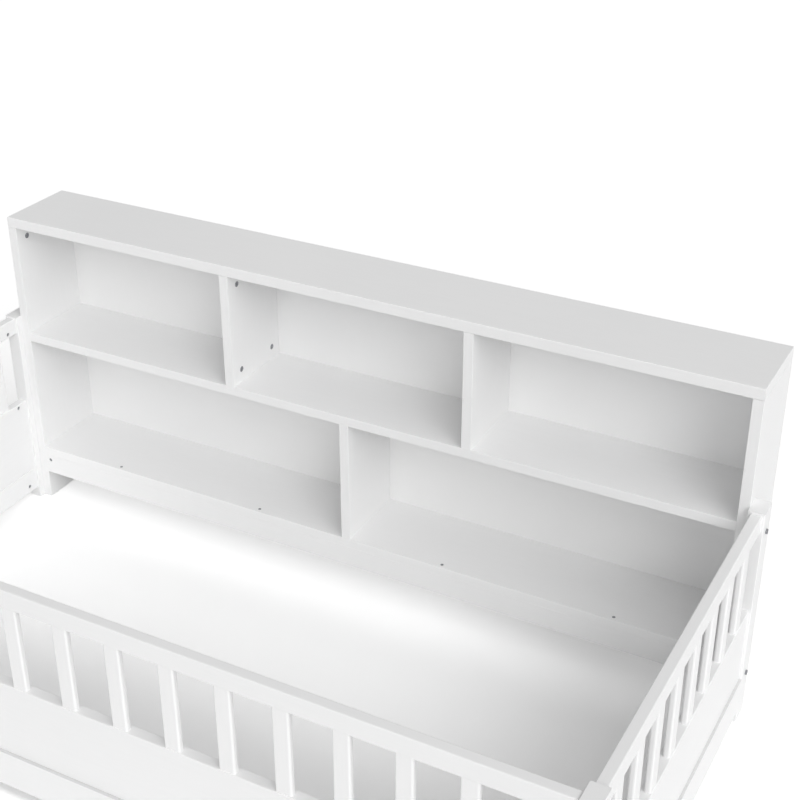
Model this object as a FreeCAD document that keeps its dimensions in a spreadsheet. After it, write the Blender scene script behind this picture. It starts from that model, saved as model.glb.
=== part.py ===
import FreeCAD, Part
import os
import Sketcher

# Open-base bookcase bed in painted wood: a case of shelves along one long side and a slatted
# fence with a wide lower board round the other three sides. The mattress lies inside the fence.
# Millimetres. +X runs along the case, +Y points to its back, +Z is up. The origin is on the
# floor under the middle of the footprint.

SIZES = (
    ("case_length", 2020.0),      # over both side panels, and clear between the end posts
    ("case_depth", 223.0),
    ("case_height", 862.0),
    ("board_thick", 25.0),        # sides, shelf, dividers, bottom board and case rails
    ("top_thick", 28.0),
    ("back_thick", 6.0),
    ("rebate_wide", 10.0),        # lap of the back sheet in the sides and under the top
    ("shelf_top", 529.0),
    ("base_top", 169.0),          # upper face of the bottom board
    ("strip_tall", 58.0),         # rails under the bottom board
    ("bay_wide", 957.0),          # case front to the inner face of the front fence
    ("rail_thick", 25.0),
    ("rail_tall", 45.0),
    ("rail_top", 571.0),
    ("post_wide", 38.0),
    ("post_deep", 56.0),
    ("post_top", 575.0),
    ("post_proud", 8.0),          # front post outside the face of the front rails
    ("post_ahead", 17.0),         # rear post in front of the case
    ("wide_top", 319.0),          # wide board: upper edge
    ("wide_low", 102.0),          # its lower edge, on the rebate of the lower rail
    ("low_top", 128.0),           # lower rail: its outer cheek, in front of the wide board
    ("low_bottom", 32.0),
    ("quirk_tall", 4.0),          # sunk shadow line inside, under the wide board
    ("quirk_deep", 2.0),
    ("slat_wide", 38.0),
    ("slat_thick", 15.0),
    ("slat_set", 2.5),            # slats behind the outer face of the rails
    ("slat_round", 5.0),
    ("tenon_wide", 28.0),
    ("tenon_thick", 9.0),
    ("tenon_long", 10.0),
    ("mortise_spare", 0.5),
    ("end_margin", 60.0),         # outermost slats of the ends, from the posts
    ("front_margin", 51.5),       # and those of the front
    ("entry_wide", 565.0),        # way in, left of the entrance post
    ("cam_back", 34.0),           # cam centre from the joined edge
    ("cam_row", 40.0),            # cam rows from the front and back of the case
    ("glide_row", 30.0),          # pads under the sides, likewise
    ("cam_rad", 7.5),
    ("cam_deep", 12.5),
    ("pin_rad", 3.5),
    ("thread_rad", 2.5),
    ("thread_deep", 11.0),
    ("round_spare", 0.3),         # radial clearance of every round fitting
    ("bolt_rad", 3.0),
    ("head_rad", 6.0),
    ("head_tall", 5.5),
    ("sink_deep", 6.0),
    ("case_sink", 1.5),           # shallow seat of the bolts through the rear posts' sides
    ("nut_rad", 5.0),
    ("nut_long", 18.0),
    ("nut_sink", 2.0),
    ("nut_back", 32.0),           # cross nut from the end of a fence rail
    ("case_nut_back", 14.0),      # cross nut from the end of the shelf and the front strip
    ("bolt_past", 6.0),           # bolt end beyond its nut
    ("screw_rad", 2.0),
    ("screw_head_rad", 4.0),
    ("screw_head_tall", 2.6),
    ("screw_long", 45.0),
    ("rear_sink", 28.0),          # rear base screws, up inside the rear strip
    ("entry_grip", 20.0),         # screws of the entrance post, in the lower rail
    ("screw_inner", 270.0),       # base screws from the middle of the case
    ("screw_outer", 725.0),
    ("glide_tall", 3.0),
    ("post_glide_rad", 14.0),
    ("case_glide_rad", 11.0),
    ("edge_round", 2.0),
    ("rail_round", 3.0),
)
END_SLATS = 8
FRONT_SLATS = 11

doc = FreeCAD.newDocument("bookcase_bed")
sheet = doc.addObject("Spreadsheet::Sheet", "Sizes")
for row, (alias, number) in enumerate(SIZES, start=1):
    sheet.set("A%d" % row, alias)
    sheet.set("B%d" % row, repr(number))
    sheet.setAlias("B%d" % row, alias)
doc.recompute()


class Size:
    """A length with its value and the sheet formula that gives it."""

    def __init__(self, value, text):
        self.value = float(value)
        self.text = text

    @staticmethod
    def of(other):
        return other if isinstance(other, Size) else Size(other, "(%r)" % float(other))

    def __add__(self, other):
        other = Size.of(other)
        return Size(self.value + other.value, "(%s + %s)" % (self.text, other.text))

    def __sub__(self, other):
        other = Size.of(other)
        return Size(self.value - other.value, "(%s - %s)" % (self.text, other.text))

    def __mul__(self, other):
        other = Size.of(other)
        return Size(self.value * other.value, "(%s * %s)" % (self.text, other.text))

    def __truediv__(self, other):
        other = Size.of(other)
        return Size(self.value / other.value, "(%s / %s)" % (self.text, other.text))

    def __neg__(self):
        return Size(-self.value, "(-1 * %s)" % self.text)

    def __radd__(self, other):
        return Size.of(other) + self

    def __rsub__(self, other):
        return Size.of(other) - self

    def __rmul__(self, other):
        return Size.of(other) * self


D = {alias: Size(number, "Sizes." + alias) for alias, number in SIZES}
ZERO = Size(0.0, "0")
PLANES = {"top": "XY_Plane", "bottom": "XY_Plane", "front": "XZ_Plane",
          "back": "XZ_Plane", "left": "YZ_Plane", "right": "YZ_Plane"}
INWARD = ("bottom", "back", "left")


class Piece:
    """One board, rail, slat or post: a padded rectangle with its cuts and tenons.

    The local corner is the lowest, front left one. Turn is the angle about +Z.
    """

    made = []

    def __init__(self, label, size, corner, turn=0.0):
        self.label = label
        self.size = [Size.of(one) for one in size]
        self.steps = 0
        self.body = doc.addObject("PartDesign::Body", label)
        self.body.Label = label
        profile = self.sketch("bottom", [("rect", ZERO, ZERO, self.size[0], self.size[1])])
        self.tip = self.feature("PartDesign::Pad", profile, self.size[2], False)
        corner = [Size.of(one) for one in corner]
        place = FreeCAD.Vector(corner[0].value, corner[1].value, corner[2].value)
        turned = FreeCAD.Rotation(FreeCAD.Vector(0, 0, 1), turn)
        self.body.Placement = FreeCAD.Placement(place, turned)
        for axis, one in zip("xyz", corner):
            self.body.setExpression("Placement.Base." + axis, one.text)
        Piece.made.append(self)

    def feature(self, kind, profile, length, reverse):
        self.steps += 1
        part = self.body.newObject(kind, "%s_step%d" % (self.label, self.steps))
        part.Profile = profile
        part.Type = 0
        part.Length = length.value
        part.setExpression("Length", length.text)
        part.Reversed = reverse
        profile.Visibility = False
        self.body.Tip = part
        return part

    def sketch(self, face, shapes):
        self.steps += 1
        flat = self.body.newObject("Sketcher::SketchObject",
                                   "%s_outline%d" % (self.label, self.steps))
        for origin in self.body.Origin.OriginFeatures:
            if origin.Role == PLANES[face]:
                flat.AttachmentSupport = (origin, [""])
        flat.MapMode = "FlatFace"
        away = {"top": self.size[2], "right": self.size[0], "back": -self.size[1]}.get(face)
        if away is not None:
            flat.AttachmentOffset.Base.z = away.value
            flat.setExpression("AttachmentOffset.Base.z", away.text)
        for shape in shapes:
            values = [Size.of(one) for one in shape[1:]]
            if shape[0] == "rect":
                self.rectangle(flat, *values)
            else:
                self.disc(flat, *values)
        return flat

    def bind(self, flat, kind, ends, size):
        index = flat.addConstraint(Sketcher.Constraint(kind, *ends, size.value))
        flat.setExpression("Constraints[%d]" % index, size.text)

    def rectangle(self, flat, low_x, low_y, high_x, high_y):
        corners = [FreeCAD.Vector(low_x.value, low_y.value, 0),
                   FreeCAD.Vector(high_x.value, low_y.value, 0),
                   FreeCAD.Vector(high_x.value, high_y.value, 0),
                   FreeCAD.Vector(low_x.value, high_y.value, 0)]
        first = flat.GeometryCount
        for side in range(4):
            flat.addGeometry(Part.LineSegment(corners[side], corners[(side + 1) % 4]), False)
        for side in range(4):
            after = first + (side + 1) % 4
            flat.addConstraint(Sketcher.Constraint("Coincident", first + side, 2, after, 1))
            level = "Horizontal" if side % 2 == 0 else "Vertical"
            flat.addConstraint(Sketcher.Constraint(level, first + side))
        self.bind(flat, "DistanceX", (-1, 1, first, 1), low_x)
        self.bind(flat, "DistanceY", (-1, 1, first, 1), low_y)
        self.bind(flat, "DistanceX", (first, 1, first, 2), high_x - low_x)
        self.bind(flat, "DistanceY", (first + 1, 1, first + 1, 2), high_y - low_y)

    def disc(self, flat, mid_x, mid_y, radius):
        centre = FreeCAD.Vector(mid_x.value, mid_y.value, 0)
        ring = flat.addGeometry(Part.Circle(centre, FreeCAD.Vector(0, 0, 1), radius.value), False)
        self.bind(flat, "DistanceX", (-1, 1, ring, 3), mid_x)
        self.bind(flat, "DistanceY", (-1, 1, ring, 3), mid_y)
        self.bind(flat, "Radius", (ring,), radius)

    def cut(self, face, shapes, depth):
        profile = self.sketch(face, shapes)
        self.tip = self.feature("PartDesign::Pocket", profile, Size.of(depth), face in INWARD)

    def add(self, face, shapes, length):
        profile = self.sketch(face, shapes)
        self.tip = self.feature("PartDesign::Pad", profile, Size.of(length), face in INWARD)

    def soften(self, axes, radius, top_only=False):
        """Round the long arrises of the plain board, before anything is cut into it."""
        doc.recompute()
        names = []
        for index, edge in enumerate(self.tip.Shape.Edges, start=1):
            run = edge.tangentAt(edge.FirstParameter)
            along = {"x": abs(run.x), "y": abs(run.y), "z": abs(run.z)}
            high = edge.CenterOfMass.z > self.size[2].value * 0.75
            if any(along[axis] > 0.99 for axis in axes) and (high or not top_only):
                names.append("Edge%d" % index)
        self.steps += 1
        rounded = self.body.newObject("PartDesign::Fillet", "%s_step%d" % (self.label, self.steps))
        rounded.Base = (self.tip, names)
        rounded.Radius = radius.value
        rounded.setExpression("Radius", radius.text)
        self.body.Tip = rounded
        self.tip = rounded


# Derived lines, all tied to the sheet.
half = D["case_length"] / 2
fence_out = D["bay_wide"] + D["rail_thick"] + D["post_proud"]
front_y = (fence_out - D["case_depth"]) / 2
inner_long = D["case_length"] - 2 * D["board_thick"]
inner_deep = D["case_depth"] - D["back_thick"]
mid_board = D["board_thick"] / 2
mid_rail = D["rail_thick"] / 2
side_tall = D["case_height"] - D["top_thick"] - D["glide_tall"]
strip_low = D["base_top"] - D["board_thick"] - D["strip_tall"]
shelf_mid = D["shelf_top"] - mid_board
base_mid = D["base_top"] - mid_board
strip_bolt = D["strip_tall"] * 0.72
cam_hole = D["cam_rad"] + D["round_spare"]
pin_hole = D["pin_rad"] + D["round_spare"]
thread_hole = D["thread_rad"] + D["round_spare"]
thread_bore = D["thread_deep"] + 0.5
bolt_hole = D["bolt_rad"] + D["round_spare"]
head_hole = D["head_rad"] + D["round_spare"]
nut_hole = D["nut_rad"] + D["round_spare"]
nut_bore = D["nut_sink"] + D["nut_long"]
screw_hole = D["screw_rad"] + D["round_spare"]
screw_sink = D["screw_head_rad"] + D["round_spare"]
cam_rows = (D["cam_row"], D["case_depth"] - D["cam_row"])
edge_bore = D["cam_back"] - D["cam_rad"] / 2

# Fittings are collected as numbers while the wood is cut.
bolts, nuts, cams, pins, screws, glides = [], [], [], [], [], []


def vec(*sizes):
    return FreeCAD.Vector(*[Size.of(one).value for one in sizes])


def cam_joint(board_face, into, mouth):
    """A cam housing let into a board face and its pin, from the mating board to the cam."""
    cams.append((board_face, into))
    pins.append(mouth)


# --- Bookcase -------------------------------------------------------------------------------
for label, corner_x, inner, outer, sign in (
        ("bookcase_side_left", -half, "right", "left", 1),
        ("bookcase_side_right", half - D["board_thick"], "left", "right", -1)):
    side = Piece(label, (D["board_thick"], D["case_depth"], side_tall),
                 (corner_x, front_y, D["glide_tall"]))
    side.soften("z", D["edge_round"] / 2)
    lap = (D["board_thick"] - D["rebate_wide"], D["board_thick"])
    if sign < 0:
        lap = (ZERO, D["rebate_wide"])
    side.cut("back", [("rect", lap[0], strip_low - D["glide_tall"], lap[1], side_tall)],
             D["back_thick"])
    side.cut(inner, [("disc", row, side_tall - D["cam_back"], cam_hole) for row in cam_rows],
             D["cam_deep"])
    side.cut("top", [("disc", mid_board, row, pin_hole) for row in cam_rows], edge_bore)
    side.cut(inner, [("disc", row, level - D["glide_tall"], thread_hole)
                     for row in cam_rows for level in (shelf_mid, base_mid)], thread_bore)
    side.cut(inner, [("disc", mid_board, shelf_mid - D["glide_tall"], bolt_hole),
                     ("disc", mid_board, strip_low + strip_bolt - D["glide_tall"], bolt_hole)],
             D["board_thick"])
    rear_row = inner_deep - mid_board
    rear_low = strip_low + D["strip_tall"] / 2
    side.cut(outer, [("disc", rear_row, rear_low - D["glide_tall"], screw_hole)],
             D["board_thick"])
    side.cut(outer, [("disc", rear_row, rear_low - D["glide_tall"], screw_sink)],
             D["screw_head_tall"])
    face_x = -sign * half
    screws.append((vec(face_x + sign * D["screw_head_tall"], front_y + rear_row, rear_low),
                   FreeCAD.Vector(sign, 0, 0), D["screw_long"].value + 10.0))
    for row in cam_rows:
        cam_x = face_x + sign * (D["board_thick"] - D["cam_deep"])
        top_z = D["case_height"] - D["top_thick"]
        cam_joint(vec(cam_x, front_y + row, top_z - D["cam_back"]), FreeCAD.Vector(sign, 0, 0),
                  (vec(face_x + sign * mid_board, front_y + row, top_z), FreeCAD.Vector(0, 0, -1)))
    for row in (D["glide_row"], D["case_depth"] - D["glide_row"]):
        glides.append((vec(face_x + sign * mid_board, front_y + row, 0), D["case_glide_rad"].value))

bay = (inner_long - 2 * D["board_thick"]) / 3
top_low = D["case_height"] - D["top_thick"]
divider_spots = (("bookcase_divider_upper_left", bay, D["shelf_top"], top_low, "right"),
                 ("bookcase_divider_upper_right", 2 * bay + D["board_thick"],
                  D["shelf_top"], top_low, "left"),
                 ("bookcase_divider_lower", (inner_long - D["board_thick"]) / 2,
                  D["base_top"], shelf_mid - mid_board, "left"))
for label, offset, low, high, face in divider_spots:
    tall = high - low
    corner_x = -half + D["board_thick"] + offset
    post = Piece(label, (D["board_thick"], inner_deep, tall), (corner_x, front_y, low))
    post.soften("z", D["edge_round"] / 2)
    post.cut(face, [("disc", row, level, cam_hole) for row in cam_rows
                    for level in (D["cam_back"], tall - D["cam_back"])], D["cam_deep"])
    for end in ("top", "bottom"):
        post.cut(end, [("disc", mid_board, row, pin_hole) for row in cam_rows], edge_bore)
    cam_x = corner_x + D["cam_deep"]
    if face == "right":
        cam_x = corner_x + D["board_thick"] - D["cam_deep"]
    outwards = FreeCAD.Vector(1 if face == "right" else -1, 0, 0)
    mid_x = corner_x + mid_board
    for row in cam_rows:
        cam_joint(vec(cam_x, front_y + row, low + D["cam_back"]), outwards,
                  (vec(mid_x, front_y + row, low), FreeCAD.Vector(0, 0, 1)))
        cam_joint(vec(cam_x, front_y + row, high - D["cam_back"]), outwards,
                  (vec(mid_x, front_y + row, high), FreeCAD.Vector(0, 0, -1)))

upper_mids = [D["board_thick"] + bay + mid_board,
              D["board_thick"] * 2 + bay * 2 + mid_board]
lower_mid = D["case_length"] / 2

top = Piece("bookcase_top_board", (D["case_length"], D["case_depth"], D["top_thick"]),
            (-half, front_y, D["case_height"] - D["top_thick"]))
top.soften("xy", D["edge_round"])
top.cut("bottom", [("disc", mid, row, thread_hole) for row in cam_rows
                   for mid in [mid_board, D["case_length"] - mid_board] + upper_mids],
        thread_bore)
top.cut("bottom", [("rect", D["board_thick"] - D["rebate_wide"], inner_deep,
                    D["case_length"] - D["board_thick"] + D["rebate_wide"],
                    D["case_depth"])], D["rebate_wide"])


def shelf_board(label, level_top):
    """A board between the side panels, held at each end by two cams."""
    board = Piece(label, (inner_long, inner_deep, D["board_thick"]),
                  (-half + D["board_thick"], front_y, level_top - D["board_thick"]))
    board.soften("x", D["edge_round"] / 2)
    ends = (D["cam_back"], inner_long - D["cam_back"])
    board.cut("bottom", [("disc", end, row, cam_hole) for end in ends for row in cam_rows],
              D["cam_deep"])
    for face in ("left", "right"):
        board.cut(face, [("disc", row, mid_board, pin_hole) for row in cam_rows], edge_bore)
    for row in cam_rows:
        for sign in (1, -1):
            edge_x = -sign * (half - D["board_thick"])
            low = level_top - D["board_thick"]
            cam_joint(vec(edge_x + sign * D["cam_back"], front_y + row, low + D["cam_deep"]),
                      FreeCAD.Vector(0, 0, -1),
                      (vec(edge_x, front_y + row, low + mid_board), FreeCAD.Vector(sign, 0, 0)))
    return board


def case_bolt(board, face, level):
    """Bore and cross nut at each end of a case board, for the bolt through post and side."""
    for end in ("left", "right"):
        board.cut(end, [("disc", mid_board, level, bolt_hole)],
                  D["case_nut_back"] + D["bolt_past"] + 2)
    other = mid_board if face == "bottom" else level
    spots = [("disc", D["case_nut_back"], other, nut_hole),
             ("disc", inner_long - D["case_nut_back"], other, nut_hole)]
    board.cut(face, spots, nut_bore)


shelf = shelf_board("bookcase_shelf", D["shelf_top"])
shelf.cut("top", [("disc", mid - D["board_thick"], row, thread_hole)
                  for mid in upper_mids for row in cam_rows], thread_bore)
shelf.cut("bottom", [("disc", lower_mid - D["board_thick"], row, thread_hole)
                     for row in cam_rows], thread_bore)
case_bolt(shelf, "bottom", mid_board)

base = shelf_board("bookcase_bottom_board", D["base_top"])
base.cut("top", [("disc", lower_mid - D["board_thick"], row, thread_hole)
                 for row in cam_rows], thread_bore)
screw_spots = [inner_long / 2 + sign * D[name] for name in ("screw_inner", "screw_outer")
               for sign in (1, -1)]
base.cut("top", [("disc", spot, mid_board, screw_sink) for spot in screw_spots],
         D["screw_head_tall"])
base.cut("top", [("disc", spot, mid_board, screw_hole) for spot in screw_spots],
         D["board_thick"])
rear_row = inner_deep - mid_board
rear_reach = D["screw_long"] - (D["strip_tall"] - D["rear_sink"])
base.cut("bottom", [("disc", spot, rear_row, screw_hole) for spot in screw_spots],
         rear_reach + 1)
for spot in screw_spots:
    screws.append((vec(spot - inner_long / 2, front_y + mid_board,
                       D["base_top"] - D["screw_head_tall"]),
                   FreeCAD.Vector(0, 0, -1), D["screw_long"].value))
    screws.append((vec(spot - inner_long / 2, front_y + rear_row, strip_low + D["rear_sink"]),
                   FreeCAD.Vector(0, 0, 1), D["screw_long"].value))

for label, offset in (("bookcase_front_strip", ZERO),
                      ("bookcase_rear_strip", inner_deep - D["board_thick"])):
    strip = Piece(label, (inner_long, D["board_thick"], D["strip_tall"]),
                  (-half + D["board_thick"], front_y + offset, strip_low))
    strip.soften("x", D["edge_round"] / 2)
    if label == "bookcase_front_strip":
        strip.cut("top", [("disc", spot, mid_board, screw_hole) for spot in screw_spots],
                  D["screw_long"] - D["board_thick"] + D["screw_head_tall"] + 1)
        case_bolt(strip, "front", strip_bolt)
    else:
        strip.cut("bottom", [("disc", spot, mid_board, screw_hole) for spot in screw_spots],
                  D["strip_tall"])
        strip.cut("bottom", [("disc", spot, mid_board, screw_sink) for spot in screw_spots],
                  D["rear_sink"])
        for end in ("left", "right"):
            strip.cut(end, [("disc", mid_board, D["strip_tall"] / 2, screw_hole)], 34)

Piece("bookcase_back_panel",
      (inner_long + 2 * D["rebate_wide"], D["back_thick"],
       D["case_height"] - D["top_thick"] + D["rebate_wide"] - strip_low),
      (-half + D["board_thick"] - D["rebate_wide"], front_y + inner_deep, strip_low))

# --- Posts ----------------------------------------------------------------------------------
side_levels = {"rail": 537.0, "wide": 309.0, "low": 52.0}
front_levels = {"rail": 556.0, "wide_high": 281.0, "wide_low": 170.0, "low": 80.0}
rail_line = D["post_proud"] + mid_rail
front_corner_y = front_y - fence_out
post_tall = D["post_top"] - D["glide_tall"]


def through(post, face, across, levels, span, from_face, sign):
    """Counterbored bolt holes through a post, from one face, at several heights."""
    spots = [("disc", across, level - D["glide_tall"], bolt_hole) for level in levels]
    wide = [("disc", across, level - D["glide_tall"], head_hole) for level in levels]
    post.cut(face, spots, span)
    post.cut(face, wide, D["sink_deep"])
    along_y = face in ("front", "back")
    reach = D["nut_back"] + D["bolt_past"] + span - D["sink_deep"]
    for level in levels:
        seat = from_face + sign * D["sink_deep"]
        if along_y:
            spot = vec(post.corner[0] + across, seat, level)
            way = FreeCAD.Vector(0, sign, 0)
        else:
            spot = vec(seat, post.corner[1] + across, level)
            way = FreeCAD.Vector(sign, 0, 0)
        bolts.append((spot, way, reach.value))


def make_post(label, corner_x, corner_y):
    post = Piece(label, (D["post_wide"], D["post_deep"], post_tall),
                 (corner_x, corner_y, D["glide_tall"]))
    post.corner = (corner_x, corner_y)
    post.soften("z", D["edge_round"])
    glides.append((vec(corner_x + D["post_wide"] / 2, corner_y + D["post_deep"] / 2, 0),
                   D["post_glide_rad"].value))
    return post


case_levels = (shelf_mid, strip_low + strip_bolt)
for hand, sign in (("left", 1), ("right", -1)):
    corner_x = -half - D["post_wide"] if sign > 0 else half
    outer_x = -sign * (half + D["post_wide"])
    rear = make_post("post_rear_" + hand, corner_x, front_y - D["post_ahead"])
    rear_back = front_y - D["post_ahead"] + D["post_deep"]
    through(rear, "back", D["post_wide"] / 2, list(side_levels.values()), D["post_deep"],
            rear_back, -1)
    across = D["post_ahead"] + mid_board
    rear.cut(hand, [("disc", across, level - D["glide_tall"], bolt_hole)
                    for level in case_levels], D["post_wide"])
    rear.cut(hand, [("disc", across, level - D["glide_tall"], head_hole)
                    for level in case_levels], D["case_sink"])
    reach = (D["post_wide"] - D["case_sink"] + D["board_thick"] + D["case_nut_back"]
             + D["bolt_past"])
    for level in case_levels:
        bolts.append((vec(outer_x + sign * D["case_sink"], front_y + mid_board, level),
                      FreeCAD.Vector(sign, 0, 0), reach.value))
    nut_x = -sign * (half - D["board_thick"] - D["case_nut_back"])
    nuts.append((vec(nut_x, front_y + nut_bore, case_levels[1]), FreeCAD.Vector(0, -1, 0),
                 vec(nut_x, front_y + mid_board, case_levels[1]), FreeCAD.Vector(1, 0, 0)))
    shelf_low = D["shelf_top"] - D["board_thick"]
    nuts.append((vec(nut_x, front_y + mid_board, shelf_low + nut_bore),
                 FreeCAD.Vector(0, 0, -1),
                 vec(nut_x, front_y + mid_board, case_levels[0]), FreeCAD.Vector(1, 0, 0)))
    front = make_post("post_front_" + hand, corner_x, front_corner_y)
    through(front, "front", D["post_wide"] / 2, list(side_levels.values()), D["post_deep"],
            front_corner_y, 1)
    levels = list(front_levels.values()) if hand == "right" else [front_levels["low"]]
    through(front, hand, rail_line, levels, D["post_wide"], outer_x, sign)

entry_x = -half + D["entry_wide"]
entry = make_post("post_entrance", entry_x, front_corner_y)
housing = D["post_proud"] + D["rail_thick"]
entry_web = D["post_deep"] - housing
low_tall = D["low_top"] - D["low_bottom"]
entry.cut("front", [("rect", ZERO, D["low_bottom"] - D["glide_tall"], D["post_wide"],
                     D["low_top"] - D["glide_tall"])], housing)
entry_levels = [D["low_bottom"] + low_tall * share for share in (0.3, 0.7)]
entry.cut("back", [("disc", D["post_wide"] / 2, level - D["glide_tall"], screw_hole)
                   for level in entry_levels], entry_web)
entry.cut("back", [("disc", D["post_wide"] / 2, level - D["glide_tall"], screw_sink)
                   for level in entry_levels], D["screw_head_tall"])
entry_reach = entry_web - D["screw_head_tall"] + D["entry_grip"]
for level in entry_levels:
    screws.append((vec(entry_x + D["post_wide"] / 2,
                       front_corner_y + D["post_deep"] - D["screw_head_tall"], level),
                   FreeCAD.Vector(0, -1, 0), entry_reach.value))
through(entry, "left", rail_line, [front_levels[name] for name in ("rail", "wide_high",
                                                                   "wide_low")],
        D["post_wide"], entry_x, 1)

# --- Fences ---------------------------------------------------------------------------------
slat_line = D["slat_set"] + D["slat_thick"] / 2


class Run:
    """One side of the fence. Local x runs along it and local y inwards from its outer face.

    Its lower rail stands further out than that face, by the lip, flush with the posts.
    """

    def __init__(self, name, origin, turn, length, levels, lip):
        self.lip = lip
        self.name = name
        self.origin = origin
        self.turn = turn
        self.length = length
        self.levels = levels

    def spot(self, along, inward):
        along = Size.of(along)
        inward = Size.of(inward)
        if self.turn == 90.0:
            return (self.origin[0] - inward, self.origin[1] + along)
        if self.turn == -90.0:
            return (self.origin[0] + inward, self.origin[1] - along)
        return (self.origin[0] + along, self.origin[1] + inward)

    def way(self, along, inward):
        turned = FreeCAD.Rotation(FreeCAD.Vector(0, 0, 1), self.turn)
        return turned.multVec(FreeCAD.Vector(along, inward, 0))

    def piece(self, label, size, along, inward, low):
        place = self.spot(along, inward)
        return Piece(label, size, (place[0], place[1], low), self.turn)

    def ends(self, piece, low, levels, length, lip=ZERO):
        """End bores for the bolts and the cross nuts on the inner face."""
        local = [Size.of(level) - low for level in levels]
        spots = []
        for side in ("left", "right"):
            piece.cut(side, [("disc", lip + mid_rail, level, bolt_hole) for level in local],
                      D["nut_back"] + D["bolt_past"] + 2)
            along = D["nut_back"] if side == "left" else length - D["nut_back"]
            spots += [("disc", along, level, nut_hole) for level in local]
            shift = length - self.length
            for level in levels:
                place = self.spot(along - shift, D["rail_thick"] - nut_bore)
                hole = self.spot(along - shift, mid_rail)
                nuts.append((vec(place[0], place[1], level), self.way(0, 1),
                             vec(hole[0], hole[1], level), self.way(1, 0)))
        piece.cut("back", spots, nut_bore)


def build_run(run, centres):
    tenon_x = D["tenon_wide"] / 2
    tenon_y = D["tenon_thick"] / 2
    holes = [("rect", mid - tenon_x, slat_line - tenon_y, mid + tenon_x, slat_line + tenon_y)
             for mid in centres]
    deep = D["tenon_long"] + D["mortise_spare"]
    rail_low = D["rail_top"] - D["rail_tall"]
    rail = run.piece(run.name + "_top_rail", (run.length, D["rail_thick"], D["rail_tall"]),
                     0, 0, rail_low)
    rail.soften("x", D["rail_round"])
    rail.cut("bottom", holes, deep)
    run.ends(rail, rail_low, [run.levels["rail"]], run.length)
    wide_tall = D["wide_top"] - D["wide_low"]
    wide = run.piece(run.name + "_wide_board", (run.length, D["rail_thick"], wide_tall),
                     0, 0, D["wide_low"])
    wide.soften("x", D["edge_round"])
    wide.cut("top", holes, deep)
    run.ends(wide, D["wide_low"], [level for name, level in run.levels.items()
                                   if name.startswith("wide")], run.length)
    open_tall = rail_low - D["wide_top"]
    for index, mid in enumerate(centres, start=1):
        slat = run.piece("%s_slat_%02d" % (run.name, index),
                         (D["slat_wide"], D["slat_thick"], open_tall),
                         mid - D["slat_wide"] / 2, D["slat_set"], D["wide_top"])
        slat.soften("z", D["slat_round"])
        tenon = [("rect", D["slat_wide"] / 2 - tenon_x, D["slat_thick"] / 2 - tenon_y,
                  D["slat_wide"] / 2 + tenon_x, D["slat_thick"] / 2 + tenon_y)]
        slat.add("top", tenon, D["tenon_long"])
        slat.add("bottom", tenon, D["tenon_long"])


def lower_rail(run, length, lap_from):
    """Lower rail with a rebate for the wide board, which leaves a thin cheek outside it."""
    rail = run.piece(run.name + "_lower_rail", (length, run.lip + D["rail_thick"], low_tall),
                     run.length - length, -run.lip, D["low_bottom"])
    rail.soften("x", D["edge_round"])
    lap_low = D["wide_low"] - D["low_bottom"]
    rail.cut("back", [("rect", lap_from, lap_low, length, low_tall)], D["rail_thick"])
    rail.cut("back", [("rect", lap_from, lap_low - D["quirk_tall"], length, lap_low)],
             D["quirk_deep"])
    run.ends(rail, D["low_bottom"], [run.levels["low"]], length, run.lip)
    return rail


end_long = D["bay_wide"] + D["rail_thick"] + D["post_proud"] - D["post_deep"] - D["post_ahead"]
end_lip = (D["post_wide"] - D["rail_thick"]) / 2
side_out = half + D["post_wide"] - end_lip
end_pitch = (end_long - 2 * D["end_margin"] - D["slat_wide"]) / (END_SLATS - 1)
end_mids = [D["end_margin"] + D["slat_wide"] / 2 + index * end_pitch
            for index in range(END_SLATS)]
end_right = Run("end_right", (side_out, front_corner_y + D["post_deep"]), 90.0, end_long,
                side_levels, end_lip)
end_left = Run("end_left", (-side_out, front_y - D["post_ahead"]), -90.0, end_long, side_levels,
               end_lip)
for run in (end_left, end_right):
    build_run(run, end_mids)
    lower_rail(run, end_long, ZERO)

front_start = D["entry_wide"] + D["post_wide"]
front_long = D["case_length"] - front_start
front_run = Run("front", (-half + front_start, front_corner_y + D["post_proud"]), 0.0, front_long,
                front_levels, D["post_proud"])
front_pitch = (front_long - 2 * D["front_margin"] - D["slat_wide"]) / (FRONT_SLATS - 1)
front_mids = [D["front_margin"] + D["slat_wide"] / 2 + index * front_pitch
              for index in range(FRONT_SLATS)]
build_run(front_run, front_mids)
sill = lower_rail(front_run, D["case_length"], front_start)
sill.cut("back", [("disc", D["entry_wide"] + D["post_wide"] / 2, level - D["low_bottom"],
                   screw_hole) for level in entry_levels], D["entry_grip"] + 1)


# --- Fittings -------------------------------------------------------------------------------
def hexagon(across, depth, centre, axis):
    """Six-sided socket of the given width, opening against the axis direction."""
    ring = []
    flat = FreeCAD.Vector(0, 0, 1)
    turned = FreeCAD.Rotation(flat, axis)
    for corner in range(7):
        spin = FreeCAD.Rotation(flat, 60.0 * corner)
        ring.append(centre + turned.multVec(spin.multVec(FreeCAD.Vector(across / 1.732, 0, 0))))
    return Part.Face(Part.makePolygon(ring)).extrude(axis * depth)


def bolt_shape(seat, way, reach):
    head = Part.makeCylinder(D["head_rad"].value, D["head_tall"].value,
                             seat - way * D["head_tall"].value, way)
    shank = Part.makeCylinder(D["bolt_rad"].value, reach, seat, way)
    socket = hexagon(5.0, 3.0, seat - way * D["head_tall"].value, way)
    return head.fuse(shank).cut(socket).removeSplitter()


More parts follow.
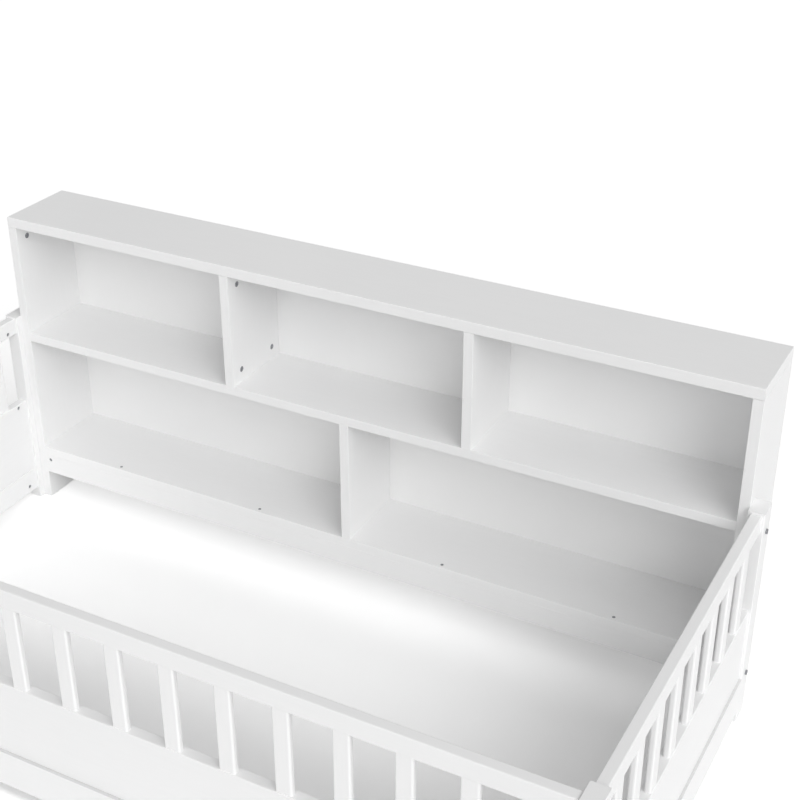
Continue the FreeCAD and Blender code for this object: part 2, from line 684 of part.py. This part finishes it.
def nut_shape(floor, way, hole, across):
    body = Part.makeCylinder(D["nut_rad"].value, D["nut_long"].value, floor, way)
    bore = Part.makeCylinder(bolt_hole.value, 30.0, hole - across * 15.0, across)
    side = way.cross(across)
    mouth = floor + way * (D["nut_long"].value - 1.0)
    slot = Part.makeBox(1.2, 12.0, 2.0)
    slot.Placement = FreeCAD.Placement(mouth, FreeCAD.Rotation(across, side, way, "ZXY"))
    slot.translate(across * -0.6 + side * -6.0)
    return body.cut(bore).cut(slot)


def cam_shape(floor, way):
    body = Part.makeCylinder(D["cam_rad"].value, D["cam_deep"].value - 0.3, floor, way)
    mouth = floor + way * (D["cam_deep"].value - 1.8)
    turned = FreeCAD.Rotation(FreeCAD.Vector(0, 0, 1), way)
    for angle in (45.0, 135.0):
        slot = Part.makeBox(9.0, 1.4, 3.0, FreeCAD.Vector(-4.5, -0.7, 0))
        spin = FreeCAD.Rotation(FreeCAD.Vector(0, 0, 1), angle)
        slot.Placement = FreeCAD.Placement(mouth, turned.multiply(spin))
        body = body.cut(slot)
    return body


def pin_shape(face, way):
    screwed = Part.makeCylinder(D["thread_rad"].value, D["thread_deep"].value, face, way * -1)
    reach = D["cam_back"].value - D["cam_rad"].value - D["round_spare"].value
    shank = Part.makeCylinder(D["pin_rad"].value, reach, face, way)
    return screwed.fuse(shank)


def screw_shape(seat, way, reach):
    tall = D["screw_head_tall"].value
    head = Part.makeCylinder(D["screw_head_rad"].value, tall, seat - way * tall, way)
    shank = Part.makeCylinder(D["screw_rad"].value, reach, seat, way)
    socket = hexagon(3.0, 1.5, seat - way * tall, way)
    return head.fuse(shank).cut(socket).removeSplitter()


groups = (
    ("frame_bolts", [bolt_shape(*one) for one in bolts]),
    ("cross_nuts", [nut_shape(*one) for one in nuts]),
    ("cam_locks", [cam_shape(*one) for one in cams]),
    ("cam_pins", [pin_shape(*one) for one in pins]),
    ("case_screws", [screw_shape(*one) for one in screws]),
    ("foot_glides", [Part.makeCylinder(radius, D["glide_tall"].value, spot)
                     for spot, radius in glides]),
)
nodes = [piece.body for piece in Piece.made]
for label, solids in groups:
    node = doc.addObject("Part::Feature", label)
    node.Label = label
    node.Shape = Part.makeCompound(solids)
    node.Placement = FreeCAD.Placement()
    nodes.append(node)

doc.recompute()
faults = []
for item in doc.Objects:
    if "Invalid" in item.State or "Error" in item.State:
        faults.append(item.Name)
for node in nodes:
    if node.Shape.isNull() or not node.Shape.isValid() or not node.Shape.Solids:
        faults.append(node.Label)
if faults:
    raise RuntimeError("not built: " + ", ".join(faults))

os.makedirs("parts", exist_ok=True)
for node in nodes:
    node.Shape.exportStep("parts/%s.step" % node.Label)
print("nodes", len(nodes), "solids", sum(len(node.Shape.Solids) for node in nodes))
for node in nodes:
    box = node.Shape.BoundBox
    print("%-28s %3d  x %8.1f %8.1f  y %8.1f %8.1f  z %7.1f %7.1f" % (
        node.Label, len(node.Shape.Solids), box.XMin, box.XMax, box.YMin, box.YMax,
        box.ZMin, box.ZMax))
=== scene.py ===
"""Studio view of a low white bookcase bed: finishes, floor, light and camera.

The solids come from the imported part. Every board, slat and post is painted wood, and the grain of
the wood runs along the piece and just shows through the paint. The fittings are zinc plated.
"""

from __future__ import annotations

import logging
import math
from dataclasses import dataclass, field
from enum import Enum

import bpy
import numpy as np
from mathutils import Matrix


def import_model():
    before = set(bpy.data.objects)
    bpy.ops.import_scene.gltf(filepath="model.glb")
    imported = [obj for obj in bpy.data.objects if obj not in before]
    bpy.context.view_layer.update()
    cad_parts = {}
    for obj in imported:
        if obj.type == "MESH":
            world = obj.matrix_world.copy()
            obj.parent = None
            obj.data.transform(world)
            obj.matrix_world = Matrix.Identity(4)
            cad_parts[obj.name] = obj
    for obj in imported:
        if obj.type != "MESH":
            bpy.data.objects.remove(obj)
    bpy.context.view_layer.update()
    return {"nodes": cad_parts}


LOG = logging.getLogger("bookcase_bed")
# Height of the lower rails' ledge, where a painted shade line runs in the paint.
LEDGE_HEIGHT = 0.128
NOISE_MEAN = 0.5
Colour = tuple[float, float, float]
BLACK: Colour = (0.0, 0.0, 0.0)
WHITE: Colour = (1.0, 1.0, 1.0)


class Run(Enum):
    """Direction in which a board is sawn, so the way its grain runs."""

    ALONG_X = (1.0, 14.0, 14.0)
    ALONG_Y = (14.0, 1.0, 14.0)
    ALONG_Z = (14.0, 14.0, 1.0)


class Hand(Enum):
    """Side of the bed, seen from the front."""

    LEFT = "left"
    RIGHT = "right"


# --- Shader writing --------------------------------------------------------------------------
class Signal:
    """A number that varies over a surface, held as a shader socket with Python operators."""

    def __init__(self, graph: "Graph", socket: bpy.types.NodeSocket) -> None:
        """Wrap an output socket of the graph."""
        self.graph = graph
        self.socket = socket

    def _math(self, operation: str, first: object, second: object) -> "Signal":
        """Add one Math node.

        Args:
            operation: Math node operation.
            first: left operand, a Signal or a number.
            second: right operand, a Signal or a number.

        Returns:
            The result as a Signal.
        """
        return self.graph.number("ShaderNodeMath", {"operation": operation},
                                 {0: first, 1: second})

    def __add__(self, other: object) -> "Signal":
        """Sum."""
        return self._math("ADD", self, other)

    def __radd__(self, other: object) -> "Signal":
        """Sum with the number first."""
        return self._math("ADD", other, self)

    def __sub__(self, other: object) -> "Signal":
        """Difference."""
        return self._math("SUBTRACT", self, other)

    def __rsub__(self, other: object) -> "Signal":
        """Difference with the number first, such as 1 - mask."""
        return self._math("SUBTRACT", other, self)

    def __mul__(self, other: object) -> "Signal":
        """Product."""
        return self._math("MULTIPLY", self, other)

    def __rmul__(self, other: object) -> "Signal":
        """Product with the number first."""
        return self._math("MULTIPLY", other, self)

    def ramp(self, low: float, high: float) -> "Signal":
        """Smooth step from 0 at low to 1 at high; low may be the larger.

        Args:
            low: value that gives 0.
            high: value that gives 1.

        Returns:
            The eased Signal.
        """
        return self.graph.number("ShaderNodeMapRange", {"interpolation_type": "SMOOTHSTEP"},
                                 {"Value": self, "From Min": low, "From Max": high})


class Graph:
    """Node tree of one material or world, built through a single method."""

    def __init__(self, owner: bpy.types.Material | bpy.types.World) -> None:
        """Start an empty tree in the material or world."""
        owner.use_nodes = True
        self.owner = owner
        self.tree = owner.node_tree
        self.tree.nodes.clear()

    @classmethod
    def new_material(cls, name: str) -> "Graph":
        """Start the empty tree of a new material of this name."""
        return cls(bpy.data.materials.new(name))

    def node(self, kind: str, settings: dict[str, object] | None = None,
             inputs: dict[object, object] | None = None) -> bpy.types.Node:
        """Add a node.

        Args:
            kind: node type.
            settings: properties of the node, set first.
            inputs: socket name or number to a value, a Signal or an output socket.

        Returns:
            The new node.
        """
        made = self.tree.nodes.new(kind)
        for key, value in (settings or {}).items():
            setattr(made, key, value)
        for key, value in (inputs or {}).items():
            target = made.inputs[key]
            if isinstance(value, Signal):
                self.tree.links.new(value.socket, target)
            elif isinstance(value, bpy.types.NodeSocket):
                self.tree.links.new(value, target)
            else:
                target.default_value = value
        return made

    def number(self, kind: str, settings: dict[str, object] | None = None,
               inputs: dict[object, object] | None = None, output: object = 0) -> Signal:
        """Add a node and return one of its outputs as a Signal."""
        return Signal(self, self.node(kind, settings, inputs).outputs[output])

    def place(self, scale: tuple[float, float, float] = (1.0, 1.0, 1.0)) -> bpy.types.NodeSocket:
        """Object coordinates in metres, stretched by the scale along each axis."""
        spot = self.node("ShaderNodeTexCoord").outputs["Object"]
        return self.node("ShaderNodeVectorMath", {"operation": "MULTIPLY"},
                         {0: spot, 1: scale}).outputs["Vector"]

    def across_and_deep(self) -> tuple[Signal, Signal]:
        """Object coordinates along X and along Y, as Signals."""
        parts = self.node("ShaderNodeSeparateXYZ", inputs={"Vector": self.place()})
        return Signal(self, parts.outputs["X"]), Signal(self, parts.outputs["Y"])

    def up(self) -> Signal:
        """Object coordinate along Z, the height in metres."""
        return self.number("ShaderNodeSeparateXYZ", inputs={"Vector": self.place()}, output="Z")

    def noise(self, place: bpy.types.NodeSocket, scale: float, detail: float = 3.0,
              roughness: float = 0.5, distortion: float = 0.0) -> Signal:
        """Fractal noise from 0 to 1, about 0.5 on average.

        Args:
            place: coordinates to read.
            scale: repeats in a metre.
            detail: number of octaves.
            roughness: weight of the finer octaves.
            distortion: how far the pattern is swirled.

        Returns:
            The noise as a Signal.
        """
        return self.number("ShaderNodeTexNoise", {"noise_dimensions": "3D"},
                           {"Vector": place, "Scale": scale, "Detail": detail,
                            "Roughness": roughness, "Distortion": distortion}, "Fac")

    def blend(self, factor: Signal, low: Colour, high: Colour) -> bpy.types.NodeSocket:
        """Mix two colours by a factor."""
        mixed = self.node("ShaderNodeMix", {"data_type": "RGBA"},
                          {"Factor": factor, "A": (*low, 1.0), "B": (*high, 1.0)})
        return mixed.outputs["Result"]

    def darken(self, colour: bpy.types.NodeSocket, share: Signal) -> bpy.types.NodeSocket:
        """Mix a colour towards black by a share."""
        mixed = self.node("ShaderNodeMix", {"data_type": "RGBA"},
                          {"Factor": share, "A": colour, "B": (*BLACK, 1.0)})
        return mixed.outputs["Result"]

    def relief(self, height: Signal, depth: float, strength: float) -> bpy.types.NodeSocket:
        """Normal of a surface whose relief is height times depth in metres, at a strength."""
        return self.node("ShaderNodeBump", inputs={"Strength": strength, "Distance": depth,
                                                   "Height": height}).outputs["Normal"]

    def finish(self, **sockets: object) -> bpy.types.Material:
        """Close the graph with a Principled shader.

        Args:
            sockets: shader socket names with underscores for spaces, and their values or links.

        Returns:
            The finished material.
        """
        named = {key.replace("_", " "): value for key, value in sockets.items()}
        shader = self.node("ShaderNodeBsdfPrincipled", inputs=named)
        self.node("ShaderNodeOutputMaterial", inputs={"Surface": shader.outputs["BSDF"]})
        return self.owner


# --- Finishes --------------------------------------------------------------------------------
@dataclass(frozen=True)
class WhitePaint:
    """Satin white paint, sprayed on sawn and sanded wood.

    Sizes are in metres and repeats are in a metre. The weights say how much the grain and the
    clouds count in the tone, the relief and the roughness.
    """

    run: Run
    # Painted shade line on a ledge: its height (0 for none), its soft edges and its strength.
    shade_line_height: float = 0.0
    shade_line_edge: tuple[float, float] = (0.0018, 0.0003)
    ledge_painted_shade: float = 0.22
    pale: Colour = (0.900, 0.900, 0.900)
    deep: Colour = (0.884, 0.885, 0.886)
    gloss: float = 0.42
    grain_depth: float = 0.00012
    spray_depth: float = 0.00003
    relief_strength: float = 0.55
    grain_repeats: float = 11.0
    pore_repeats: float = 42.0
    spray_repeats: float = 900.0
    cloud_repeats: float = 2.3
    grain_tone: float = 0.55
    grain_relief: float = 0.8
    pore_relief: float = 0.25
    grain_gloss: float = 0.10
    cloud_gloss: float = 0.16

    def build(self) -> bpy.types.Material:
        """Paint with faint grain lines, spray texture and slight clouds in tone and gloss.

        Where a shade-line height is given, the narrow ledge there is painted darker: painted shade
        that stands in for the shadow in the joint of the lower rails.

        Returns:
            The material, which reads Object coordinates.
        """
        name = "white_paint_" + self.run.name.lower()
        graph = Graph.new_material(name + "_jointed" if self.shade_line_height else name)
        along = graph.place(self.run.value)
        plain = graph.place()
        grain = graph.noise(along, self.grain_repeats, detail=5.0, roughness=0.62, distortion=0.6)
        pores = graph.noise(along, self.pore_repeats, detail=2.0).ramp(0.58, 0.78)
        spray = graph.noise(plain, self.spray_repeats, detail=1.0)
        clouds = graph.noise(plain, self.cloud_repeats, detail=2.0)
        tone = (grain * self.grain_tone + clouds * (1.0 - self.grain_tone)).ramp(0.34, 0.66)
        height = (grain * self.grain_relief - pores * self.pore_relief
                  + spray * (self.spray_depth / self.grain_depth))
        colour = graph.blend(tone, self.deep, self.pale)
        if self.shade_line_height:
            # Painted shade: the paint is darkened in a thin band at the ledge, in place of the
            # shadow in the joint.
            low, high = (self.shade_line_height - part for part in self.shade_line_edge)
            colour = graph.darken(colour, graph.up().ramp(low, high) * self.ledge_painted_shade)
        return graph.finish(
            Base_Color=colour,
            Roughness=(self.gloss + (clouds - NOISE_MEAN) * self.cloud_gloss
                       + (grain - NOISE_MEAN) * self.grain_gloss),
            Normal=graph.relief(height, self.grain_depth, self.relief_strength),
            Specular_IOR_Level=0.42)


@dataclass(frozen=True)
class BackSheet:
    """Thin back sheet with a rolled white coat. Sizes in metres, repeats in a metre."""

    pale: Colour = (0.895, 0.895, 0.893)
    deep: Colour = (0.868, 0.869, 0.870)
    gloss: float = 0.52
    stipple_gloss: float = 0.12
    stipple_depth: float = 0.00006
    stipple_repeats: float = 420.0
    cloud_repeats: float = 1.7

    def build(self) -> bpy.types.Material:
        """Coat with the fine stipple of a roller and broad clouds."""
        graph = Graph.new_material("back_sheet_paint")
        plain = graph.place()
        stipple = graph.noise(plain, self.stipple_repeats, detail=2.0, roughness=0.6)
        clouds = graph.noise(plain, self.cloud_repeats)
        return graph.finish(
            Base_Color=graph.blend(clouds.ramp(0.35, 0.65), self.deep, self.pale),
            Roughness=self.gloss + (stipple - NOISE_MEAN) * self.stipple_gloss,
            Normal=graph.relief(stipple, self.stipple_depth, 0.5),
            Specular_IOR_Level=0.35)


@dataclass(frozen=True)
class ZincPlate:
    """Bright zinc on small steel fittings. Sizes in metres, repeats in a metre."""

    pale: Colour = (0.46, 0.46, 0.48)
    deep: Colour = (0.26, 0.27, 0.29)
    gloss: float = 0.34
    mottle_gloss: float = 0.25
    scuff_depth: float = 0.00003
    mottle_repeats: float = 260.0
    scuff_repeats: float = 1100.0

    def build(self) -> bpy.types.Material:
        """Metal with a mottled plating and fine turning marks."""
        graph = Graph.new_material("zinc_plate")
        plain = graph.place()
        mottle = graph.noise(plain, self.mottle_repeats, roughness=0.6)
        scuffs = graph.noise(plain, self.scuff_repeats, detail=2.0)
        return graph.finish(
            Base_Color=graph.blend(mottle.ramp(0.3, 0.7), self.deep, self.pale),
            Metallic=1.0,
            Roughness=self.gloss + (mottle - NOISE_MEAN) * self.mottle_gloss,
            Normal=graph.relief(scuffs, self.scuff_depth, 0.4))


@dataclass(frozen=True)
class PadPlastic:
    """Pale matt plastic of the floor pads. Sizes in metres, repeats in a metre."""

    pale: Colour = (0.80, 0.80, 0.79)
    deep: Colour = (0.70, 0.70, 0.69)
    gloss: float = 0.62
    texture_gloss: float = 0.2
    texture_depth: float = 0.00005
    texture_repeats: float = 1500.0
    dust_repeats: float = 60.0

    def build(self) -> bpy.types.Material:
        """Plastic with a fine moulded texture and a little dust in patches."""
        graph = Graph.new_material("pad_plastic")
        plain = graph.place()
        texture = graph.noise(plain, self.texture_repeats, detail=2.0)
        dust = graph.noise(plain, self.dust_repeats)
        return graph.finish(
            Base_Color=graph.blend(dust.ramp(0.35, 0.7), self.pale, self.deep),
            Roughness=self.gloss + (texture - NOISE_MEAN) * self.texture_gloss,
            Normal=graph.relief(texture, self.texture_depth, 0.5),
            Specular_IOR_Level=0.4)


@dataclass(frozen=True)
class StudioFloor:
    """White studio floor that keeps the shadow of the bed. Sizes in metres.

    A fade is a pair of places, from where the lift is 0 to where it is full. A share is what
    is left of the lift at the right end of the bay.
    """

    tone: Colour = (0.95, 0.95, 0.95)
    cloud_share: float = 0.985
    open_glow: float = 0.29
    # Inside the bed the lift is lower and graded, painting shade near the fences and light at the
    # case foot.
    bay_glow_painted_shade: float = 0.145
    case_foot_painted_light: float = 0.24
    bay_side: float = 1.03
    bay_front: float = -0.59
    bay_back: float = 0.60
    bay_edge: float = 0.02
    right_fade: tuple[float, float] = (0.75, 0.15)
    bay_fade: tuple[float, float] = (-0.30, 0.02)
    case_fade: tuple[float, float] = (0.20, 0.43)
    bay_right_share: float = 0.52
    case_right_share: float = 0.6

    def glow(self, graph: Graph) -> Signal:
        """Lift towards white, as the photograph has it.

        It is full outside the bed. Inside the fence it fades towards the front and the right, where
        the boards stand round: painted shade on the floor. It grows again at the foot of the case:
        painted light that lifts the shadow there.

        Args:
            graph: the floor's graph.

        Returns:
            The lift as a Signal.
        """
        across, deep = graph.across_and_deep()
        inside = (across.ramp(-self.bay_side - self.bay_edge, -self.bay_side)
                  * across.ramp(self.bay_side + self.bay_edge, self.bay_side)
                  * deep.ramp(self.bay_front - self.bay_edge, self.bay_front)
                  * deep.ramp(self.bay_back + self.bay_edge, self.bay_back))
        left = across.ramp(*self.right_fade)
        # Painted shade: a lower lift inside the bay, weaker towards the right and the front.
        bay = (self.bay_glow_painted_shade * (left * (1.0 - self.bay_right_share) + self.bay_right_share)
               * deep.ramp(*self.bay_fade))
        # Painted light: extra lift at the foot of the case, lightening the shadow under it.
        foot = (self.case_foot_painted_light * (left * (1.0 - self.case_right_share) + self.case_right_share)
                * deep.ramp(*self.case_fade))
        return self.open_glow + inside * (bay + foot - self.open_glow)

    def build(self) -> bpy.types.Material:
        """Matt white with a faint cloud; seen directly it is lifted towards white.

        The glow is only for rays from the camera, so it doesn't light the bed.

        Returns:
            The material, which reads Object coordinates.
        """
        graph = Graph.new_material("studio_floor")
        seen = graph.number("ShaderNodeLightPath", output="Is Camera Ray")
        clouds = graph.noise(graph.place(), 0.6, 2.0)
        return graph.finish(
            Base_Color=graph.blend(clouds, tuple(part * self.cloud_share for part in self.tone),
                                   self.tone),
            Roughness=0.85 + (clouds - NOISE_MEAN) * 0.05,
            # Camera-only glow: even outside the bed, painted shade and painted light inside it.
            Emission_Color=graph.blend(seen * self.glow(graph), BLACK, WHITE),
            Emission_Strength=1.0,
            Specular_IOR_Level=0.1)


@dataclass
class Finishes:
    """The finishes of the bed, each made once."""

    paint: dict[Run, bpy.types.Material] = field(default_factory=dict)
    painted_shade_ledge: dict[Run, bpy.types.Material] = field(default_factory=dict)
    sheet: bpy.types.Material | None = None
    zinc: bpy.types.Material | None = None
    pad: bpy.types.Material | None = None

    def mix(self) -> "Finishes":
        """Make every material and return self."""
        self.paint = {run: WhitePaint(run).build() for run in Run}
        # Lower-rail paint with a painted shade line along the ledge.
        self.painted_shade_ledge = {run: WhitePaint(run, LEDGE_HEIGHT).build()
                        for run in (Run.ALONG_X, Run.ALONG_Y)}
        self.sheet = BackSheet().build()
        self.zinc = ZincPlate().build()
        self.pad = PadPlastic().build()
        return self


def dress(nodes: dict[str, bpy.types.Object], name: str, finish: bpy.types.Material) -> None:
    """Give one solid of the part its finish and log it.

    Args:
        nodes: the part's solids by name.
        name: solid to dress.
        finish: material for all its faces.
    """
    solid = nodes[name]
    solid.data.materials.clear()
    solid.data.materials.append(finish)
    LOG.info("%s: %s", name, finish.name)


# --- Sub-assemblies --------------------------------------------------------------------------
@dataclass
class Bookcase:
    """Open case of shelves along the back of the bed. Sizes in metres."""

    length: float = 2.020
    depth: float = 0.223
    height: float = 0.862
    level: tuple[str, ...] = ("bookcase_top_board", "bookcase_shelf", "bookcase_bottom_board",
                              "bookcase_front_strip", "bookcase_rear_strip")
    upright: tuple[str, ...] = ("bookcase_side_left", "bookcase_side_right",
                                "bookcase_divider_upper_left", "bookcase_divider_upper_right",
                                "bookcase_divider_lower")

    def dress(self, nodes: dict[str, bpy.types.Object], finishes: Finishes) -> None:
        """Paint the level boards along X, the uprights along Z, and the back sheet."""
        LOG.info("bookcase, %.3f x %.3f x %.3f m", self.length, self.depth, self.height)
        for name in self.level:
            dress(nodes, name, finishes.paint[Run.ALONG_X])
        for name in self.upright:
            dress(nodes, name, finishes.paint[Run.ALONG_Z])
        dress(nodes, "bookcase_back_panel", finishes.sheet)


@dataclass
class EndFence:
    """Slatted fence across one end of the bed. Sizes in metres."""

    hand: Hand
    slats: int = 8
    rail_height: float = 0.571

    def dress(self, nodes: dict[str, bpy.types.Object], finishes: Finishes) -> None:
        """Paint rails and wide board along Y, and slats along Z."""
        side = "end_" + self.hand.value
        LOG.info("%s fence, %.3f m high, %d slats", side, self.rail_height, self.slats)
        for part in ("top_rail", "wide_board"):
            dress(nodes, f"{side}_{part}", finishes.paint[Run.ALONG_Y])
        # The lower rail's paint carries a painted shade line at its ledge.
        dress(nodes, side + "_lower_rail", finishes.painted_shade_ledge[Run.ALONG_Y])
        for number in range(1, self.slats + 1):
            dress(nodes, f"{side}_slat_{number:02d}", finishes.paint[Run.ALONG_Z])


@dataclass
class FrontFence:
    """Slatted fence along the front, up to the entry gap. Sizes in metres."""

    slats: int = 11
    rail_height: float = 0.571

    def dress(self, nodes: dict[str, bpy.types.Object], finishes: Finishes) -> None:
        """Paint rails and wide board along X, and slats along Z."""
        LOG.info("front fence, %.3f m high, %d slats", self.rail_height, self.slats)
        for part in ("top_rail", "wide_board"):
            dress(nodes, "front_" + part, finishes.paint[Run.ALONG_X])
        # The lower rail's paint carries a painted shade line at its ledge.
        dress(nodes, "front_lower_rail", finishes.painted_shade_ledge[Run.ALONG_X])
        for number in range(1, self.slats + 1):
            dress(nodes, f"front_slat_{number:02d}", finishes.paint[Run.ALONG_Z])


@dataclass
class Posts:
    """Corner posts and the post at the entry gap. Sizes in metres."""

    width: float = 0.038
    depth: float = 0.056
    height: float = 0.575
    names: tuple[str, ...] = ("post_rear_left", "post_rear_right", "post_front_left",
                              "post_front_right", "post_entrance")

    def dress(self, nodes: dict[str, bpy.types.Object], finishes: Finishes) -> None:
        """Paint the posts along Z."""
        LOG.info("posts, %.3f x %.3f x %.3f m", self.width, self.depth, self.height)
        for name in self.names:
            dress(nodes, name, finishes.paint[Run.ALONG_Z])


@dataclass
class Fittings:
    """Bolts, nuts, cams, pins and screws, and the floor pads."""

    metal: tuple[str, ...] = ("frame_bolts", "cross_nuts", "cam_locks", "cam_pins", "case_screws")
    pads: str = "foot_glides"

    def dress(self, nodes: dict[str, bpy.types.Object], finishes: Finishes) -> None:
        """Plate the metal and make the pads plastic."""
        for name in self.metal:
            dress(nodes, name, finishes.zinc)
        dress(nodes, self.pads, finishes.pad)


# --- Studio ----------------------------------------------------------------------------------
@dataclass(frozen=True)
class SoftLamp:
    """Distant soft lamp. Angles in degrees; bearing 0 is the front and 90 the right."""

    name: str
    bearing: float
    height: float
    spread: float
    strength: float

    def hang(self) -> bpy.types.Object:
        """Make the lamp and turn it to shine on the bed.

        Returns:
            The lamp's object.
        """
        lamp = bpy.data.lights.new(self.name, "SUN")
        lamp.energy = self.strength
        lamp.angle = math.radians(self.spread)
        piece = bpy.data.objects.new(self.name, lamp)
        piece.rotation_euler = (math.radians(90.0 - self.height), 0.0, math.radians(self.bearing))
        bpy.context.scene.collection.objects.link(piece)
        return piece


@dataclass
class Studio:
    """Floor, light and camera. Sizes in metres, angles in degrees."""

    floor_half: float = 30.0
    floor_cells: int = 24
    lamps: tuple[SoftLamp, ...] = (SoftLamp("key", 45.0, 30.0, 34.0, 1.17),
                                   SoftLamp("side", 80.0, 45.0, 40.0, 0.90),
                                   SoftLamp("fill", 5.0, 20.0, 34.0, 0.36))
    sky: float = 0.38
    camera_spot: tuple[float, float, float] = (1.5791, -2.2967, 2.2973)
    camera_down: float = 28.99
    camera_left: float = 27.94
    camera_focal: float = 65.70

    def floor(self) -> bpy.types.Object:
        """Flat square grid: x and y run evenly over it and z is 0 everywhere.

        Returns:
            The floor.
        """
        line = np.linspace(-self.floor_half, self.floor_half, self.floor_cells + 1)
        across, deep = np.meshgrid(line, line)
        points = np.stack([across, deep, np.zeros_like(across)], axis=-1).reshape(-1, 3)
        row = self.floor_cells + 1
        start = (np.arange(self.floor_cells)[:, None] * row
                 + np.arange(self.floor_cells)[None, :]).ravel()
        quads = np.stack([start, start + 1, start + row + 1, start + row], axis=-1)
        mesh = bpy.data.meshes.new("studio_floor")
        mesh.from_pydata(points.tolist(), [], quads.tolist())
        mesh.update()
        mesh.materials.append(StudioFloor().build())
        piece = bpy.data.objects.new("studio_floor", mesh)
        bpy.context.scene.collection.objects.link(piece)
        return piece

    def world(self) -> None:
        """Even pale sky for light, seen as plain white."""
        world = bpy.data.worlds.new("studio_sky")
        bpy.context.scene.world = world
        graph = Graph(world)
        seen = graph.number("ShaderNodeLightPath", output="Is Camera Ray")
        light = graph.node("ShaderNodeBackground",
                           inputs={"Color": graph.blend(seen, (self.sky,) * 3, WHITE)})
        graph.node("ShaderNodeOutputWorld", inputs={"Surface": light.outputs["Background"]})

    def camera(self) -> None:
        """Camera at the photograph's viewing angle, level and without shift."""
        lens = bpy.data.cameras.new("camera")
        lens.lens = self.camera_focal
        lens.sensor_width = 36.0
        lens.clip_start = 0.05
        lens.clip_end = 200.0
        piece = bpy.data.objects.new("camera", lens)
        piece.location = self.camera_spot
        piece.rotation_euler = (math.radians(90.0 - self.camera_down), 0.0,
                                math.radians(self.camera_left))
        bpy.context.scene.collection.objects.link(piece)
        bpy.context.scene.camera = piece

    def build(self) -> None:
        """Set up the whole studio."""
        self.floor()
        self.world()
        for lamp in self.lamps:
            lamp.hang()
        self.camera()
        bpy.context.scene.view_settings.view_transform = "Standard"
        LOG.info("studio: floor, sky, lamps and camera")


def main() -> None:
    """Dress the bed, piece by piece, and set up the studio."""
    logging.basicConfig(level=logging.INFO, format="%(name)s: %(message)s")
    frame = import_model()
    nodes = frame["nodes"]
    finishes = Finishes().mix()
    for assembly in (Bookcase(), EndFence(Hand.LEFT), EndFence(Hand.RIGHT), FrontFence(),
                     Posts(), Fittings()):
        assembly.dress(nodes, finishes)
    Studio().build()


if __name__ == "__main__":
    main()
